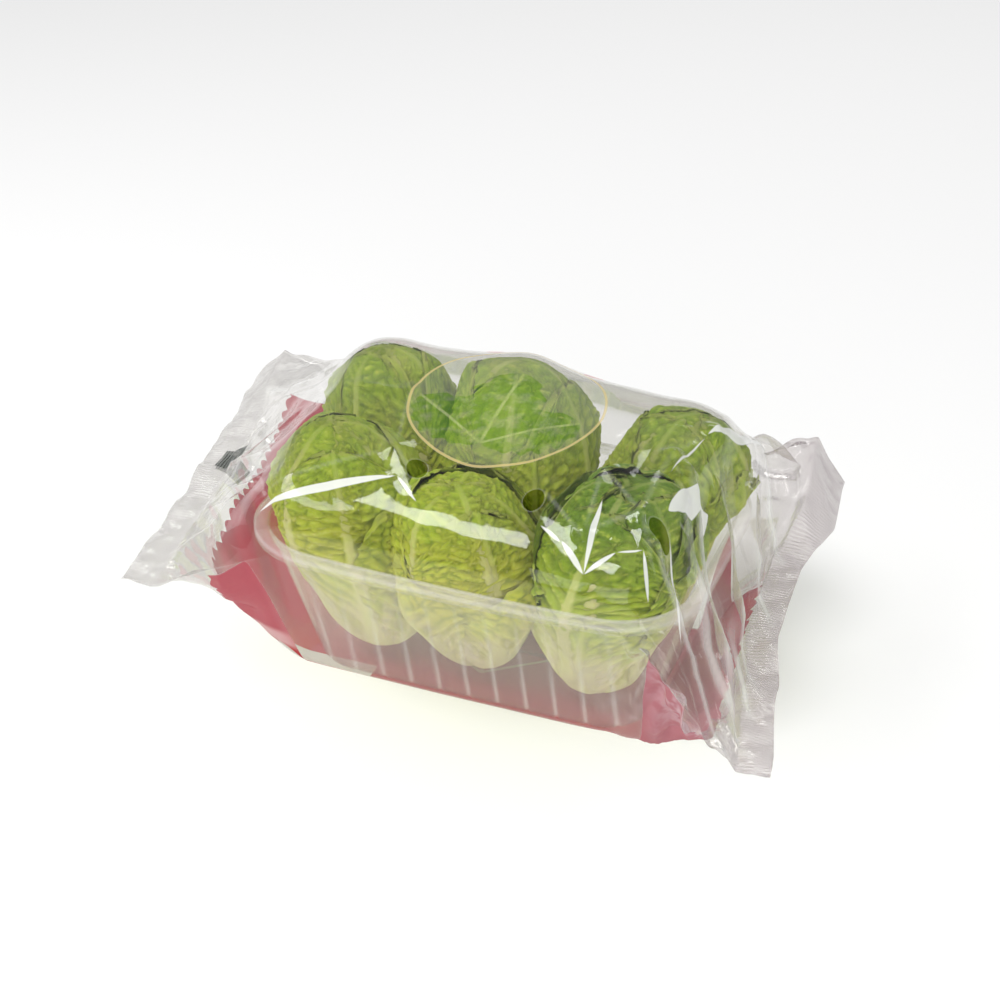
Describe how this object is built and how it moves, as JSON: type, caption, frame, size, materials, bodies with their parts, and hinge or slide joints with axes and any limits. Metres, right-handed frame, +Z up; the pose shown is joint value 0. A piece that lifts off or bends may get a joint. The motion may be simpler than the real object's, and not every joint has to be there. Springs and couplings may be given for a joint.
{
  "type": "tray of little gem lettuce",
  "caption": "Flow-wrapped pack of little gem lettuces: a tapered ribbed tray of green heads in clear film with a red underside and wide crimped ends.",
  "frame": {"origin": "on the flat underside, under the middle of the tray", "axes": "+Z up; +X along the pack from the left end seal to the right one; +Y towards the back row of heads"},
  "size_m": [0.303, 0.168, 0.1157],
  "materials": {
    "clear_film": "thin clear glossy film with green lettuce showing through it and an opaque red print underneath",
    "tray_plastic": "translucent milky polypropylene",
    "lettuce_leaf": "waxy blistered leaf, pale at the root"
  },
  "bodies": {
    "root": {"sealed_pack": "clear_film"}
  },
  "joints": []
}
